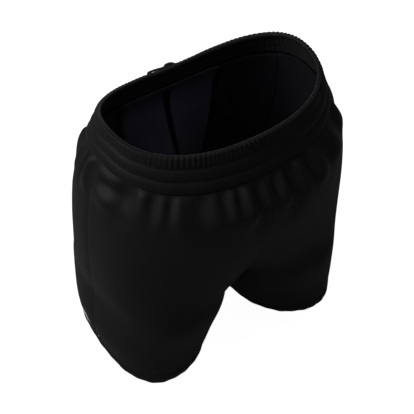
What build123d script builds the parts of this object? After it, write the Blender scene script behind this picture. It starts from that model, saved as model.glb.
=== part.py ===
"""Winter sports over-shorts with a close inner liner and soft impact pads between the two layers.

Frame: +Z up, the wearer faces -Y, the wearer's left is +X. The origin is the centre of the waist
opening, level with the mean height of its rim. Every length is in millimetres.

Both layers are shaped by the same rule. Rings of the torso lie above the crotch and rings of one leg
below it, and the torso ring turns into the leg ring on the way down. A place on a ring is given by its
turn: -1 at the front centre (or inseam), 0 at the side seam, +1 at the back centre (or inseam).
"""
from build123d import *
import os
from math import cos, pi, sin

os.makedirs("parts", exist_ok=True)

# ---------------------------------------------------------------- driving dimensions
SEAM_GAP = 0.002            # share of a half turn left open on each side of a seam
CLOTH = 1.2                 # woven shell, with its seam allowance
LINER_CLOTH = 0.9
BAND_HEIGHT = 46.3          # waistband, rim to waist seam
BAND_ROWS = 3               # stitched channels in the waistband
HEM_DEPTH = 16.0            # folded hem at the shell's leg opening
CUFF_DEPTH = 28.0           # elastic cuff at the liner's leg opening
CORD_RADIUS = 1.6
RING_TOLERANCE = 0.03       # how closely the plain waistband rings follow their points

# Waist rim: half width, front depth, back depth, and how it rises and dips around the body.
RIM = (150.0, 88.7, 104.2)
SEAM_RING = (165.8, 103.9, 122.7)
RIM_FRONT_TO_BACK = 11.6
RIM_SIDE_RISE = 9.7
RIM_THIRD_WAVE = -3.0

# Heights of the rings: waist seam, upper hip, hip, crotch, mid leg, leg opening.
SHELL = {
    "height": (-BAND_HEIGHT, -88.0, -209.0, -282.6, -344.2, -405.8),
    "half_width": (165.8, 182.7, 193.3, 193.3, 193.3, 193.3),
    "front": (103.9, 121.9, 126.2, 126.2, 126.2, 126.2),
    "back": (122.7, 151.7, 138.9, 138.9, 138.9, 138.9),
    "torso_y": (0.0, 0.0, 4.5, 4.5, 4.5, 4.5),
    "leg_x": (91.3, 91.3, 91.3, 91.3, 103.2, 114.1),
    "leg_y": (-4.0, -4.0, -4.0, -4.0, 3.2, 10.4),
    "leg_half_width": (90.8, 90.8, 90.8, 90.8, 87.4, 69.2),
    "leg_half_depth": (133.0, 133.0, 133.0, 133.0, 112.0, 101.4),
    "front_roundness": 0.805,
    "back_roundness": 0.889,
    "leg_roundness": 0.887,
    "front_drop": 2.72,
    "back_drop": 2.72,
}
LINER = {
    "height": (-BAND_HEIGHT, -88.0, -209.0, -266.0, -325.0, -384.0),
    "half_width": (160.0, 169.0, 178.0, 178.0, 178.0, 178.0),
    "front": (98.5, 109.0, 112.0, 112.0, 112.0, 112.0),
    "back": (116.0, 136.0, 126.0, 126.0, 126.0, 126.0),
    "torso_y": (0.0, 0.0, 2.0, 2.0, 2.0, 2.0),
    "leg_x": (87.0, 87.0, 87.0, 87.0, 99.0, 109.0),
    "leg_y": (-3.0, -3.0, -3.0, -3.0, 3.0, 9.0),
    "leg_half_width": (86.0, 86.0, 86.0, 86.0, 73.0, 55.0),
    "leg_half_depth": (112.0, 112.0, 112.0, 112.0, 87.0, 80.0),
    "front_roundness": 0.86,
    "back_roundness": 0.92,
    "leg_roundness": 0.93,
    "front_drop": 1.3,
    "back_drop": 2.4,
}
CROTCH = 3                  # which ring is the crotch
HEM_BACK_RISE = 0.096       # hem height gained per millimetre towards the back
HEM_SIDE_RISE = 0.19        # and per millimetre towards the side
HEM_SADDLE = 5.8
HEM_BACK_SWEEP = -14.6
POUCH_EDGE = -0.70          # turn of the seam between pouch and front thigh panel
HIP_EDGE = 0.33             # turn of the seams in front of and behind the hip panel


# ---------------------------------------------------------------- the rule of the two layers
def through(heights, values, z):
    """Smooth curve through the rings' values that never overshoots them."""
    last = len(heights) - 1
    steps = [heights[i + 1] - heights[i] for i in range(last)]
    rates = [(values[i + 1] - values[i]) / steps[i] for i in range(last)]
    slopes = [rates[0]]
    for before, after in zip(rates, rates[1:]):
        level = before * after <= 0
        slopes.append(0.0 if level else 2 * before * after / (before + after))
    slopes.append(rates[-1])
    i = 0
    while i < last - 1 and z < heights[i + 1]:
        i += 1
    t = (z - heights[i]) / steps[i]
    start = values[i] * (1 + 2 * t) * (1 - t) ** 2 + slopes[i] * steps[i] * t * (1 - t) ** 2
    end = values[i + 1] * t * t * (3 - 2 * t) + slopes[i + 1] * steps[i] * t * t * (t - 1)
    return start + end


def round_corner(angle, roundness):
    """Unit outline between an ellipse (roundness 1) and a box (0), at a polar angle."""
    power = 2 / roundness
    reach = (abs(cos(angle)) ** power + abs(sin(angle)) ** power) ** (-1 / power)
    return reach * cos(angle), reach * sin(angle)


def rim_height(turn):
    angle = pi / 2 * turn
    waves = RIM_SIDE_RISE * cos(2 * angle) + RIM_THIRD_WAVE * sin(3 * angle)
    return RIM_FRONT_TO_BACK * sin(angle) + waves


def seam_height(turn):
    """Rise and dip of the waist seam, a little flatter at the back than the rim."""
    angle = pi / 2 * turn
    return rim_height(turn) - 4.2 * sin(angle) + 1.6 * cos(2 * angle)


def layer_point(form, turn, z):
    """Point of a layer's outer face on the wearer's left."""
    heights = form["height"]
    value = {name: through(heights, form[name], z) for name in form if isinstance(form[name], tuple)}
    torso_angle = pi / 2 * turn
    leg_angle = pi * turn
    back = turn > 0
    across, along = round_corner(torso_angle, form["back_roundness" if back else "front_roundness"])
    torso_x = value["half_width"] * across
    torso_y = value["torso_y"] + value["back" if back else "front"] * along
    across, along = round_corner(leg_angle, form["leg_roundness"])
    leg_x = value["leg_x"] + value["leg_half_width"] * across
    leg_y = value["leg_y"] + value["leg_half_depth"] * along
    top = heights[0] - 20
    fall = min(max((z - top) / (heights[CROTCH] - top), 0.0), 1.0)
    share = 0.5 + 0.5 * sin(torso_angle)
    drop = form["front_drop"] + (form["back_drop"] - form["front_drop"]) * share
    leg_share = 1 - (1 - fall ** drop) ** (1 / drop)
    x = (1 - leg_share) * torso_x + leg_share * leg_x
    y = (1 - leg_share) * torso_y + leg_share * leg_y
    upper = max(0.0, 1 - (z - heights[0]) / (heights[-1] - heights[0])) ** 2
    lower = min(max((z - heights[1]) / (heights[-1] - heights[1]), 0.0), 1.0) ** 1.5
    tilt = HEM_BACK_RISE * (y - form["leg_y"][-1]) + HEM_SIDE_RISE * (x - form["leg_x"][-1])
    sweep = sin(2 * leg_angle) * (0.5 + 0.5 * cos(leg_angle - 0.96))
    wave = HEM_SADDLE * cos(2 * leg_angle) + HEM_BACK_SWEEP * sweep
    return Vector(x, y, z + upper * seam_height(turn) + lower * (tilt + wave))


def band_point(turn, depth, out=0.0):
    """Point of the waistband's base face: depth 0 at the rim and 1 at the waist seam."""
    def flat(where):
        angle = pi / 2 * where
        back = where > 0
        across, along = round_corner(angle, 0.889 if back else 0.805)
        sizes = [a + (b - a) * depth for a, b in zip(RIM, SEAM_RING)]
        return Vector(sizes[0] * across, sizes[2 if back else 1] * along, 0)

    step = 0.004
    along = flat(min(turn + step, 1)) - flat(max(turn - step, -1))
    outward = Vector(along.Y, -along.X, 0).normalized()
    height = (1 - depth) * rim_height(turn) + depth * (seam_height(turn) - BAND_HEIGHT)
    return flat(turn) + outward * out + Vector(0, 0, height)


def mirrored(point):
    return Vector(-point.X, point.Y, point.Z)


def pushed(form, turn, z, out):
    """Layer point moved out along the layer's own normal."""
    step = 0.004
    around = layer_point(form, min(turn + step, 1), z) - layer_point(form, max(turn - step, -1), z)
    down = layer_point(form, turn, z - 1) - layer_point(form, turn, z + 1)
    return layer_point(form, turn, z) + down.cross(around).normalized() * out


def heights_between(form, top, bottom, rows):
    """Heights that crowd towards the crotch, where the layer turns fastest."""
    crotch = form["height"][CROTCH]
    if bottom >= crotch or top <= crotch:
        return [top + (bottom - top) * i / rows for i in range(rows + 1)]
    upper = [top + (crotch - top) * sin(pi / 2 * i / rows) for i in range(rows)]
    below = rows // 2
    return upper + [crotch + (bottom - crotch) * i / below for i in range(below + 1)]


def softened_crotch(rows, heights, form):
    """Rounds the corner where the rise seam meets the inseam."""
    crotch = form["height"][CROTCH]
    for _ in range(8):
        softer = [rows[0]]
        for above, row, below, z in zip(rows, rows[1:], rows[2:], heights[1:]):
            pull = max(0.0, 1 - abs(z - crotch) / 95) / 2
            softer.append([p + ((a + b) * 0.5 - p) * pull for a, p, b in zip(above, row, below)])
        rows = softer + [rows[-1]]
    return rows


def layer_face(form, first, last, top, bottom, out=0.0, columns=14, rows=18):
    """Face of a layer between two turns, which may change with height."""
    heights = heights_between(form, top, bottom, rows)
    grid = []
    for z in heights:
        start = first(z) if callable(first) else first
        end = last(z) if callable(last) else last
        turns = [start + (end - start) * j / columns for j in range(columns + 1)]
        grid.append([pushed(form, turn, z, out) if out else layer_point(form, turn, z) for turn in turns])
    return Face.make_surface_from_array_of_points(softened_crotch(grid, heights, form))


def outward_is_up(face):
    """True when the face's normal points away from the leg's or torso's inside."""
    middle = face.center()
    inside = Vector(100 if middle.X > 0 else -100, 0, middle.Z)
    return face.normal_at(middle).dot(middle - inside) > 0


def write(part, name):
    part.label = name
    export_step(part, f"parts/{name}.step")
    print(name, round(part.volume), "mm3")


def write_pair(piece, name):
    """Writes a left piece and its mirror image on the right."""
    write(piece.part, f"left_{name}")
    with BuildPart() as twin:
        mirror(piece.part, about=Plane.YZ)
    write(twin.part, f"right_{name}")


def layer_part(form, span, top, bottom, thickness, out=0.0, outward=False, columns=14, rows=18):
    """Solid of a cloth piece or pad. A spline face can fail to offset at one of its knots, so finer
    grids of the same place are tried until the volume is the face's area times the thickness."""
    for extra in range(8):
        face = layer_face(form, span[0], span[1], top, bottom, out, columns + extra, rows + extra)
        sign = 1 if outward_is_up(face) == outward else -1
        try:
            with BuildPart() as piece:
                thicken(face, amount=sign * thickness)
        except ValueError:
            continue
        if abs(piece.part.volume / (face.area * thickness) - 1) < 0.12:
            return piece
    raise ValueError("no grid of this piece can be thickened")


# ---------------------------------------------------------------- shell panels and hems
FRONT = (-1 + SEAM_GAP, -SEAM_GAP)
BACK = (SEAM_GAP, 1 - SEAM_GAP)
HEM_TOP = SHELL["height"][-1] + HEM_DEPTH
VENT = 0.012                # half the open notch in the hem at the side seam

for name, (first, last) in {"front_panel": FRONT, "back_panel": BACK}.items():
    write_pair(layer_part(SHELL, (first, last), -BAND_HEIGHT - 0.8, HEM_TOP + 0.4, CLOTH), name)

for name, (first, last) in {"front_hem": (FRONT[0], -VENT), "back_hem": (VENT, BACK[1])}.items():
    hem = layer_part(SHELL, (first, last), HEM_TOP, SHELL["height"][-1], 2 * CLOTH, rows=4)
    write_pair(hem, name)


# ---------------------------------------------------------------- waistband
def ring_face(depth_from, depth_to, out, steps):
    """Band face from the centre-back seam round the front and back again."""
    half = [BACK[1] - (BACK[1] + 1) * i / 16 for i in range(17)]
    grid = []
    for i in range(steps + 1):
        depth = depth_from + (depth_to - depth_from) * i / steps
        left = [band_point(turn, depth, out) for turn in half]
        grid.append(left + [mirrored(point) for point in reversed(left[:-1])])
    return Face.make_surface_from_array_of_points(grid, tol=RING_TOLERANCE)


def ring_part(face, thickness):
    """Solid of a ring, thickened towards the body."""
    with BuildPart() as grown:
        thicken(face, amount=thickness)
    with BuildPart() as shrunk:
        thicken(face, amount=-thickness)
    return grown if grown.part.volume < shrunk.part.volume else shrunk


CASING_OUT = 2.6            # the casing's outer face stands this far off the band's base face
EYELET_X = 8.0
EYELET_DEPTH = 0.5 / BAND_ROWS
EYELET_TURN = -1 + 2 / pi * EYELET_X / RIM[1] * 0.97
eyelet_spot = band_point(EYELET_TURN, EYELET_DEPTH, CASING_OUT)
band_down = band_point(-1, 1) - band_point(-1, 0)
band_outward = (0, band_down.Z, -band_down.Y)

casing = ring_part(ring_face(0.0, 1.0, CASING_OUT, 4), 1.0)
with BuildPart() as waistband_casing:
    add(casing.part)
    for side in (-1, 1):
        hole = Plane(origin=(side * EYELET_X, eyelet_spot.Y + 6, eyelet_spot.Z), z_dir=(0, -1, 0))
        with BuildSketch(hole):
            Circle(2.6)
        extrude(amount=14, mode=Mode.SUBTRACT)
write(waistband_casing.part, "waistband_casing")

facing = ring_part(ring_face(0.02, 0.98, -3.0, 4), 0.8)
write(facing.part, "waistband_facing")

for row, name in enumerate(("elastic_upper", "elastic_middle", "elastic_lower")):
    start = (row + 0.14) / BAND_ROWS
    end = (row + 0.86) / BAND_ROWS
    elastic = ring_part(ring_face(start, end, -1.0, 3), 1.4)
    write(elastic.part, name)

for side, name in ((1, "left_eyelet"), (-1, "right_eyelet")):
    seat = Plane(origin=(side * EYELET_X, eyelet_spot.Y - 0.45, eyelet_spot.Z), z_dir=band_outward)
    with BuildPart() as eyelet:
        with BuildSketch(seat):
            Circle(4.6)
            Circle(2.1, mode=Mode.SUBTRACT)
        extrude(amount=1.1)
        fillet(eyelet.faces().sort_by(Axis.Y)[0].edges(), 0.4)
    write(eyelet.part, name)


# ---------------------------------------------------------------- drawstring
# The flat braid runs all the way round in the upper channel; its two ends come out at the eyelets.
with BuildPart() as drawstring_run:
    braid = ring_face(0.3 / BAND_ROWS, 0.7 / BAND_ROWS, 0.9, 3)
    add(ring_part(braid, 1.3).part)
write(drawstring_run.part, "drawstring_run")

KNOT_CENTRE = (0.0, -99.8, -33.0)
KNOT_HALF_WIDTH = 9.0
KNOT_RADIUS = 4.4
STUB_LENGTH = 6.6           # from the knot's middle to the inside of the eyelet
knot_plane = Plane(origin=KNOT_CENTRE, x_dir=(1, 0, 0), z_dir=(0, -1, 0))
with BuildPart() as drawstring_knot:
    with BuildSketch(knot_plane):
        Ellipse(KNOT_HALF_WIDTH, KNOT_RADIUS)
        split(bisect_by=Plane.XZ)
    revolve(axis=Axis(KNOT_CENTRE, (1, 0, 0)))
    # Two short stubs run from the knot into the eyelets.
    for side in (-1, 1):
        with BuildSketch(Plane(origin=(side * EYELET_X, KNOT_CENTRE[1], eyelet_spot.Z), z_dir=(0, 1, 0))):
            Circle(CORD_RADIUS)
        extrude(amount=STUB_LENGTH)
write(drawstring_knot.part, "drawstring_knot")

# The left tail springs out sideways from the knot before it falls; the right one falls at once.
LEFT_TAIL = [
    (10.2, -101.6, -34.0), (26.0, -110.3, -39.6), (20.5, -116.5, -52.5), (18.0, -119.0, -68.0),
    (17.0, -122.5, -88.0), (17.0, -127.5, -111.0), (17.0, -128.8, -134.0),
]
RIGHT_TAIL = [
    (-10.2, -101.2, -35.0), (-16.0, -104.0, -41.0), (-19.5, -107.5, -52.0), (-20.0, -112.0, -68.0),
    (-20.0, -122.0, -88.0), (-19.5, -127.5, -111.0), (-19.5, -128.8, -134.0),
]
TIP_RADIUS = 2.3
TIP_LENGTH = 16.0


def bend_radii(route):
    """Largest tangent arcs that the straight runs allow."""
    radii = []
    for before, here, after in zip(route, route[1:], route[2:]):
        come = Vector(*here) - Vector(*before)
        go = Vector(*after) - Vector(*here)
        half_turn = come.get_angle(go) / 2 * pi / 180
        radii.append(0.45 * min(come.length, go.length) * cos(half_turn) / sin(half_turn))
    return radii


for name, route in (("left", LEFT_TAIL), ("right", RIGHT_TAIL)):
    radii = bend_radii(route)
    print(name, "tail bend radii", [round(radius, 1) for radius in radii])
    with BuildPart() as tail:
        with BuildLine() as path:
            FilletPolyline(*route, radius=radii)
        with BuildSketch(Plane(origin=path.line @ 0, z_dir=path.line % 0)):
            Circle(CORD_RADIUS)
        sweep()
    length = path.wire().length
    print(name, "tail length", round(length, 1), "section times length", round(pi * CORD_RADIUS**2 * length))
    write(tail.part, f"{name}_tail_cord")
    with BuildPart() as tip:
        with BuildSketch(Plane(origin=path.line @ 1, z_dir=path.line % 1)):
            Circle(TIP_RADIUS)
        extrude(amount=TIP_LENGTH)
        fillet(tip.edges().sort_by(Axis.Z)[0], 0.8)
    write(tip.part, f"{name}_cord_tip")


# ---------------------------------------------------------------- inner liner
LINER_TOP = -BAND_HEIGHT - 0.4
LINER_CROTCH = LINER["height"][CROTCH]
LEG_END = LINER["height"][-1]
CUFF_TOP = LEG_END + CUFF_DEPTH
liner_panels = {
    "pouch": (FRONT[0], POUCH_EDGE - SEAM_GAP, LINER_TOP, LINER_CROTCH + 1),
    "inner_thigh_gusset": (FRONT[0], POUCH_EDGE - SEAM_GAP, LINER_CROTCH - 1, CUFF_TOP + 0.4),
    "liner_front_thigh": (POUCH_EDGE + SEAM_GAP, -HIP_EDGE - SEAM_GAP, LINER_TOP, CUFF_TOP + 0.4),
    "liner_hip_panel": (-HIP_EDGE + SEAM_GAP, HIP_EDGE - SEAM_GAP, LINER_TOP, CUFF_TOP + 0.4),
    "liner_back_panel": (HIP_EDGE + SEAM_GAP, BACK[1], LINER_TOP, CUFF_TOP + 0.4),
}
for name, (first, last, top, bottom) in liner_panels.items():
    write_pair(layer_part(LINER, (first, last), top, bottom, LINER_CLOTH), name)

cuff = layer_part(LINER, (FRONT[0], BACK[1]), CUFF_TOP, LEG_END, 1.6, columns=40, rows=5)
write_pair(cuff, "liner_cuff")

# Bar-tacked tape down the middle of the pouch, wide at the waist and narrow below.
TAPE_TOP = -56.0
TAPE_BOTTOM = -232.0
tape_rows = []
for i in range(15):
    z = TAPE_TOP + (TAPE_BOTTOM - TAPE_TOP) * i / 14
    middle = layer_point(LINER, -1, z)
    half = 3.0 + 3.2 * (1 - i / 14) ** 2
    tape_rows.append([Vector(half * j / 2, middle.Y + LINER_CLOTH + 0.9, middle.Z) for j in range(-2, 3)])
centre_tape = Face.make_surface_from_array_of_points(tape_rows)
with BuildPart() as pouch_centre_tape:
    thicken(centre_tape, amount=0.8, normal_override=(0, 1, 0))
write(pouch_centre_tape.part, "pouch_centre_tape")

edge_span = (POUCH_EDGE - 0.018, POUCH_EDGE + 0.018)
edge_tape = layer_part(
    LINER, edge_span, -54, LINER_CROTCH + 14, 0.7, out=-LINER_CLOTH - 0.25, columns=3
)
write_pair(edge_tape, "pouch_edge_tape")


# ---------------------------------------------------------------- impact pads between the layers
PAD = 8.6                   # from the liner to the pad's outer face
pads = {
    "hip_pad": (-0.26, 0.26, -100, -214, 0.6),
    "thigh_pad": (-0.44, -0.04, -296, -350, 2.2),
    "seat_pad": (0.42, 0.86, -150, -236, 0.6),
}
for name, (first, last, top, bottom, lift) in pads.items():
    pad = layer_part(LINER, (first, last), top, bottom, PAD - lift, out=lift, outward=True, columns=8, rows=8)
    write_pair(pad, name)

# The tailbone pad bridges the hollow between the two back panels.
TAILBONE_HALF = 40.0
tailbone_rows = []
for i in range(9):
    z = -78 - 66 * i / 8
    flank = layer_point(LINER, 0.83, z)
    row = []
    for j in range(-4, 5):
        share = j / 4
        row.append(Vector(TAILBONE_HALF * share, flank.Y + 3.2 + 2.5 * (1 - share**2), flank.Z))
    tailbone_rows.append(row)
with BuildPart() as tailbone_pad:
    thicken(Face.make_surface_from_array_of_points(tailbone_rows), amount=6.5, normal_override=(0, 1, 0))
write(tailbone_pad.part, "tailbone_pad")


# ---------------------------------------------------------------- reflective bars
BAR_COUNT = 5
with BuildPart() as left_reflective_bars:
    for k in range(BAR_COUNT):
        near = -0.055 - 0.022 * k

        def front_edge(z, near=near):
            return near - 0.011 - 0.0011 * (z + 372)

        def back_edge(z, near=near):
            return near - 0.0011 * (z + 372)

        top = -364 - 1.5 * k
        bar = layer_part(SHELL, (front_edge, back_edge), top, top - 16, 0.25, 0.12, True, columns=2, rows=3)
        add(bar.part)
write(left_reflective_bars.part, "left_reflective_bars")
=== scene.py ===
# %% [markdown]
# # Over-shorts with a liner and impact pads
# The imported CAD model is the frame: it holds where every piece sits and what moves. This script replaces its
# plain soft solids with sewn cloth: gathered waistband rows, folds that fall from them, hems, a close liner,
# quilted foam pads, and a knotted drawstring whose two tails swing.

# %% Load the frame
import bpy
import numpy as np
from mathutils import Matrix, Vector
from math import cos, pi, radians, sin


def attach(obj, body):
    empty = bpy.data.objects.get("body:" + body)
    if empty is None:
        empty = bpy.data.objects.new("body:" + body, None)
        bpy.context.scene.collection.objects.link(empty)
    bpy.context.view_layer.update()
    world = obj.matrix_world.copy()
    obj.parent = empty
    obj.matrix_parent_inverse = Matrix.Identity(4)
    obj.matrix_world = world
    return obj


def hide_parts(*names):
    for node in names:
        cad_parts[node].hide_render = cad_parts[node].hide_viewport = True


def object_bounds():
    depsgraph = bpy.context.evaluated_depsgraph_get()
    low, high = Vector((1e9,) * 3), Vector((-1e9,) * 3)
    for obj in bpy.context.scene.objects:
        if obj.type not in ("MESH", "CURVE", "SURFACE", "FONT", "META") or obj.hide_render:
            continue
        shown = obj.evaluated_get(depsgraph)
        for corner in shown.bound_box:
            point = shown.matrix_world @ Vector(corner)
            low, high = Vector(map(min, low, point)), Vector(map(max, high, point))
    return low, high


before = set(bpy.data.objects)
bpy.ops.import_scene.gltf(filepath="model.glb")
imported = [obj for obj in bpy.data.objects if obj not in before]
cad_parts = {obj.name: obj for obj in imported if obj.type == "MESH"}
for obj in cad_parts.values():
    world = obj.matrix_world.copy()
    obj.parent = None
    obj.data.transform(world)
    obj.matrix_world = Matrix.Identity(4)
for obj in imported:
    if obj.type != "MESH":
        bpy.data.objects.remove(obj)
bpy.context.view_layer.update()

MM = 0.001

# %% [markdown]
# ## Camera
# The shorts are seen from behind and above, from the wearer's left, through a long lens. The view leans
# by two degrees, as a hand-held product view does.

# %% Camera
CAMERA_AZIMUTH = 145.3
CAMERA_ELEVATION = 47.4
CAMERA_LEAN = 1.95
CAMERA_DISTANCE = 1.936
CAMERA_TARGET = Vector((0.0206, 0.0320, -0.1780))
LENS = 124.4
SENSOR_WIDTH = 36.0

azimuth = radians(CAMERA_AZIMUTH)
elevation = radians(CAMERA_ELEVATION)
back = Vector((sin(azimuth) * cos(elevation), -cos(azimuth) * cos(elevation), sin(elevation)))
camera_data = bpy.data.cameras.new("camera")
camera_data.lens = LENS
camera_data.sensor_width = SENSOR_WIDTH
camera_data.clip_end = 20
camera = bpy.data.objects.new("camera", camera_data)
bpy.context.scene.collection.objects.link(camera)
look = (-back).to_track_quat("-Z", "Y").to_matrix().to_4x4()
camera.matrix_world = (Matrix.Translation(CAMERA_TARGET + back * CAMERA_DISTANCE) @ look
                       @ Matrix.Rotation(radians(CAMERA_LEAN), 4, "Z"))
bpy.context.scene.camera = camera

# %% [markdown]
# ## Drawstring tails
# A braided cord 3.2 mm thick. The left tail springs out sideways from the knot before it falls, the right one
# falls at once, and both hang down the front. The points are the route of the CAD tubes, and the NURBS curve
# rounds them as a limp cord would.

# %% Drawstring tails
CORD_DIAMETER = 0.0032
LEFT_TAIL = [
    (10.2, -101.6, -34.0), (26.0, -110.3, -39.6), (20.5, -116.5, -52.5), (18.0, -119.0, -68.0),
    (17.0, -122.5, -88.0), (17.0, -127.5, -111.0), (17.0, -128.8, -134.0),
]
RIGHT_TAIL = [
    (-10.2, -101.2, -35.0), (-16.0, -104.0, -41.0), (-19.5, -107.5, -52.0), (-20.0, -112.0, -68.0),
    (-20.0, -122.0, -88.0), (-19.5, -127.5, -111.0), (-19.5, -128.8, -134.0),
]


def nurbs_cord(name, route, radius):
    """Open NURBS tube through the route, in metres."""
    curve = bpy.data.curves.new(name, "CURVE")
    curve.dimensions = "3D"
    curve.bevel_depth = 1.0
    curve.bevel_resolution = 4
    curve.resolution_u = 10
    curve.use_fill_caps = True
    spline = curve.splines.new("NURBS")
    spline.points.add(len(route) - 1)
    for point, place in zip(spline.points, route):
        point.co = (*[v * MM for v in place], 1)
        point.radius = radius
    spline.order_u = 3
    spline.use_endpoint_u = True
    piece = bpy.data.objects.new(name, curve)
    bpy.context.scene.collection.objects.link(piece)
    return piece


tails = {
    "left": nurbs_cord("left_drawstring_tail", LEFT_TAIL, CORD_DIAMETER / 2),
    "right": nurbs_cord("right_drawstring_tail", RIGHT_TAIL, CORD_DIAMETER / 2),
}
print("tails", [t.name for t in tails.values()])

# %% [markdown]
# ## The rule of the two layers
# Shell and liner follow the same rule as the CAD model. Torso rings turn into the ring of one leg on the
# way down. `turn` goes from -1 at the front centre, through 0 at the side seam, to +1 at the back centre.
# The rule works in millimetres; a mesh is turned into metres when it is made.

# %% Layer rule
BAND_HEIGHT = 46.3
RIM = np.array([150.0, 88.7, 104.2])
SEAM_RING = np.array([165.8, 103.9, 122.7])
CROTCH = 3
SHELL = {
    "height": (-BAND_HEIGHT, -88.0, -209.0, -282.6, -344.2, -405.8),
    "half_width": (165.8, 182.7, 193.3, 193.3, 193.3, 193.3),
    "front": (103.9, 121.9, 126.2, 126.2, 126.2, 126.2),
    "back": (122.7, 151.7, 138.9, 138.9, 138.9, 138.9),
    "torso_y": (0.0, 0.0, 4.5, 4.5, 4.5, 4.5),
    "leg_x": (91.3, 91.3, 91.3, 91.3, 103.2, 114.1),
    "leg_y": (-4.0, -4.0, -4.0, -4.0, 3.2, 10.4),
    "leg_half_width": (90.8, 90.8, 90.8, 90.8, 87.4, 69.2),
    "leg_half_depth": (133.0, 133.0, 133.0, 133.0, 112.0, 101.4),
    "roundness": (0.805, 0.889, 0.887),
    "drop": (2.72, 2.72),
}
LINER = {
    "height": (-BAND_HEIGHT, -88.0, -209.0, -266.0, -325.0, -384.0),
    "half_width": (160.0, 169.0, 178.0, 178.0, 178.0, 178.0),
    "front": (98.5, 109.0, 112.0, 112.0, 112.0, 112.0),
    "back": (116.0, 136.0, 126.0, 126.0, 126.0, 126.0),
    "torso_y": (0.0, 0.0, 2.0, 2.0, 2.0, 2.0),
    "leg_x": (87.0, 87.0, 87.0, 87.0, 99.0, 109.0),
    "leg_y": (-3.0, -3.0, -3.0, -3.0, 3.0, 9.0),
    "leg_half_width": (86.0, 86.0, 86.0, 86.0, 73.0, 55.0),
    "leg_half_depth": (112.0, 112.0, 112.0, 112.0, 87.0, 80.0),
    "roundness": (0.86, 0.92, 0.93),
    "drop": (1.3, 2.4),
}


def through(heights, values, z):
    """Smooth curve through the rings' values that never overshoots them."""
    heights = np.array(heights)
    values = np.array(values)
    steps = np.diff(heights)
    rates = np.diff(values) / steps
    before, after = rates[:-1], rates[1:]
    same = before * after > 0
    mean = np.where(same, 2 * before * after / np.where(same, before + after, 1), 0)
    slopes = np.concatenate([rates[:1], mean, rates[-1:]])
    i = np.clip(np.searchsorted(-heights, -z, side="right") - 1, 0, len(steps) - 1)
    t = (z - heights[i]) / steps[i]
    start = values[i] * (1 + 2 * t) * (1 - t) ** 2 + slopes[i] * steps[i] * t * (1 - t) ** 2
    return start + values[i + 1] * t * t * (3 - 2 * t) + slopes[i + 1] * steps[i] * t * t * (t - 1)


def round_corner(angle, roundness):
    """Unit ring as a rounded rectangle: roundness 1 is an ellipse."""
    power = 2 / roundness
    reach = (np.abs(np.cos(angle)) ** power + np.abs(np.sin(angle)) ** power) ** (-1 / power)
    return reach * np.cos(angle), reach * np.sin(angle)


def rim_height(turn):
    """Wave of the waistband's top edge, in millimetres."""
    angle = pi / 2 * turn
    return 11.6 * np.sin(angle) + 9.7 * np.cos(2 * angle) - 3.0 * np.sin(3 * angle)


def seam_height(turn):
    """Wave of the seam below the waistband, in millimetres."""
    angle = pi / 2 * turn
    return rim_height(turn) - 4.2 * np.sin(angle) + 1.6 * np.cos(2 * angle)


def layer_points(form, turn, z):
    """Points of a layer on the wearer's left; turn and z are arrays of one shape."""
    heights = form["height"]
    value = {k: through(heights, v, z) for k, v in form.items() if len(v) == len(heights)}
    torso = pi / 2 * turn
    leg = pi * turn
    behind = turn > 0
    front_x, front_y = round_corner(torso, form["roundness"][0])
    back_x, back_y = round_corner(torso, form["roundness"][1])
    torso_x = value["half_width"] * np.where(behind, back_x, front_x)
    torso_y = value["torso_y"] + np.where(behind, value["back"] * back_y, value["front"] * front_y)
    across, along = round_corner(leg, form["roundness"][2])
    leg_x = value["leg_x"] + value["leg_half_width"] * across
    leg_y = value["leg_y"] + value["leg_half_depth"] * along
    top = heights[0] - 20
    fall = np.clip((z - top) / (heights[CROTCH] - top), 0, 1)
    drop = form["drop"][0] + (form["drop"][1] - form["drop"][0]) * (0.5 + 0.5 * np.sin(torso))
    share = 1 - (1 - fall ** drop) ** (1 / drop)
    x = (1 - share) * torso_x + share * leg_x
    y = (1 - share) * torso_y + share * leg_y
    upper = np.clip(1 - (z - heights[0]) / (heights[-1] - heights[0]), 0, None) ** 2
    lower = np.clip((z - heights[1]) / (heights[-1] - heights[1]), 0, 1) ** 1.5
    tilt = 0.096 * (y - form["leg_y"][-1]) + 0.19 * (x - form["leg_x"][-1])
    wave = 5.8 * np.cos(2 * leg) - 14.6 * np.sin(2 * leg) * (0.5 + 0.5 * np.cos(leg - 0.96))
    return np.stack([x, y, z + upper * seam_height(turn) + lower * (tilt + wave)], -1)


def layer_heights(form, top, bottom, fineness):
    """Heights that crowd towards the crotch, where the cloth turns fastest."""
    crotch = form["height"][CROTCH]
    if bottom >= crotch or top <= crotch:
        return np.linspace(top, bottom, 18 * fineness + 1)
    upper = top + (crotch - top) * np.sin(pi / 2 * np.arange(18 * fineness) / (18 * fineness))
    return np.concatenate([upper, np.linspace(crotch, bottom, 9 * fineness + 1)])


def layer_grid(form, first, last, top, bottom, columns, fineness):
    """Grid of (turn, height) and its points, with the corner at the crotch softened as in the CAD model."""
    z = layer_heights(form, top, bottom, fineness)
    turn, z = np.meshgrid(np.linspace(first, last, columns), z)
    points = layer_points(form, turn, z)
    pull = np.clip(1 - np.abs(z - form["height"][CROTCH]) / 95, 0, None)[1:-1, :, None] / 2
    if bottom < form["height"][CROTCH] < top:
        for _ in range(8 * fineness * fineness):
            points[1:-1] += ((points[:-2] + points[2:]) / 2 - points[1:-1]) * pull
    return turn, z, points


# %% [markdown]
# ## Sewing a sheet from a grid
# Every cloth piece starts as a grid of points on its layer. Its normals come from the grid, the folds push it
# along them, and a second skin one cloth thickness inside closes it into a thin solid, as real cloth is.
# Each piece gets a UV map in metres along the cloth, so weave and knit keep their true scale.

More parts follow.
